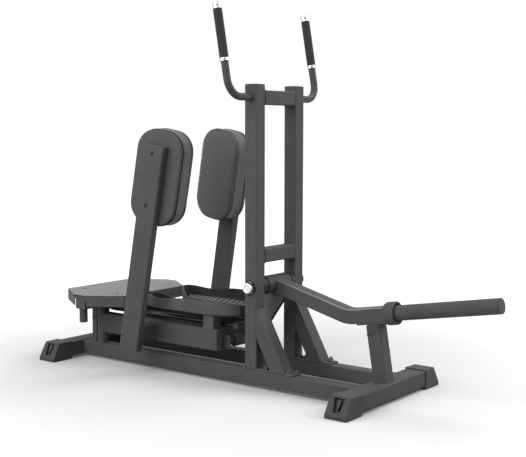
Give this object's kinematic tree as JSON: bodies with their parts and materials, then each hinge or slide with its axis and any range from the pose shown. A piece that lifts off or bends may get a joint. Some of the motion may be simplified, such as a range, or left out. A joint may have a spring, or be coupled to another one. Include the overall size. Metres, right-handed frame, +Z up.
{
  "type": "standing hip abductor machine",
  "caption": "Plate-loaded standing hip abductor: foot pedals and thigh pads on swing arms that lift a weight horn through tie rods and a crank, with uprights, handles and a rear platform.",
  "frame": {"origin": "on the floor, at the centre of the machine's bounding box", "axes": "+X forward along the weight horn, +Y to the machine's left, +Z up"},
  "size_m": [1.7487, 0.5872, 1.2878],
  "materials": {
    "paint": "satin black powder coat",
    "platform_paint": "satin powder coat, lit brighter on its flat top",
    "board": "matt backing board",
    "vinyl": "satin synthetic leather",
    "foam": "matt moulded rubber",
    "rubber": "matt rubber",
    "plastic": "matt plastic",
    "dark_steel": "dark plated steel",
    "polished_aluminium": "polished"
  },
  "bodies": {
    "frame": {"crossbar_front": "paint", "crossbar_rear": "paint", "cross_tube_top": "paint", "cross_tube_middle": "paint", "lever_axle": "dark_steel", "bumper_post": "paint", "bumper_cap": "rubber", "platform_sheet": "platform_paint", "platform_tube": "paint", "foot_cap_front_left": "rubber", "foot_cap_front_right": "rubber", "foot_cap_rear_left": "rubber", "foot_cap_rear_right": "rubber", "rail_left": "paint", "rail_right": "paint", "upright_left": "paint", "upright_right": "paint", "upright_cap_left": "plastic", "upright_cap_right": "plastic", "brace_left": "paint", "brace_right": "paint", "handle_tube_left": "paint", "handle_tube_right": "paint", "handle_grip_left": "foam", "handle_grip_right": "foam", "handle_ring_left": "polished_aluminium", "handle_ring_right": "polished_aluminium", "handle_cap_left": "polished_aluminium", "handle_cap_right": "polished_aluminium", "axle_cap_left": "polished_aluminium", "axle_cap_right": "polished_aluminium", "platform_column_left": "paint", "platform_column_right": "paint", "arm_stop_left": "rubber", "arm_stop_right": "rubber", "pivot_shaft_left": "paint", "pivot_shaft_right": "paint"},
    "lever": {"lever_pivot_tube": "paint", "lever_beam": "paint", "crank_plate": "paint", "crank_pin": "dark_steel", "horn_collar": "paint", "weight_horn": "paint", "horn_end_cap": "rubber"},
    "arm_left": {"arm_sleeve_left": "paint", "arm_beam_left": "paint", "arm_buffer_left": "rubber", "foot_pedal_left": "foam", "pad_post_left": "paint", "pad_board_left": "board", "pad_cushion_left": "vinyl"},
    "rod_left": {"tie_rod_left": "dark_steel"},
    "arm_right": {"arm_sleeve_right": "paint", "arm_beam_right": "paint", "arm_buffer_right": "rubber", "foot_pedal_right": "foam", "pad_post_right": "paint", "pad_board_right": "board", "pad_cushion_right": "vinyl"},
    "rod_right": {"tie_rod_right": "dark_steel"}
  },
  "joints": [
    {"name": "lever_hinge", "type": "hinge", "parent": "frame", "child": "lever", "pos_m": [0.02367, 0, 0.3436], "axis": [0, -1, 0], "range_deg": [0, 16.95]},
    {"name": "arm_left_hinge", "type": "hinge", "parent": "frame", "child": "arm_left", "pos_m": [-0.71274, 0.112, 0.135], "axis": [0, 0, 1], "range_deg": [0, 62.1]},
    {"name": "rod_left_hinge", "type": "hinge", "parent": "lever", "child": "rod_left", "pos_m": [-0.08574, 0.06743, 0.19], "axis": [0, -1, 0], "range_deg": [-19.4, 0]},
    {"name": "arm_right_hinge", "type": "hinge", "parent": "frame", "child": "arm_right", "pos_m": [-0.71274, -0.112, 0.135], "axis": [0, 0, -1], "range_deg": [0, 62.1]},
    {"name": "rod_right_hinge", "type": "hinge", "parent": "lever", "child": "rod_right", "pos_m": [-0.08574, -0.06743, 0.19], "axis": [0, -1, 0], "range_deg": [-19.4, 0]}
  ],
  "couplings": [
    {"joint": "arm_left_hinge", "follows": "lever_hinge", "ratio": 3.6578},
    {"joint": "rod_left_hinge", "follows": "lever_hinge", "ratio": -1.1402},
    {"joint": "arm_right_hinge", "follows": "lever_hinge", "ratio": 3.6578},
    {"joint": "rod_right_hinge", "follows": "lever_hinge", "ratio": -1.1402}
  ]
}
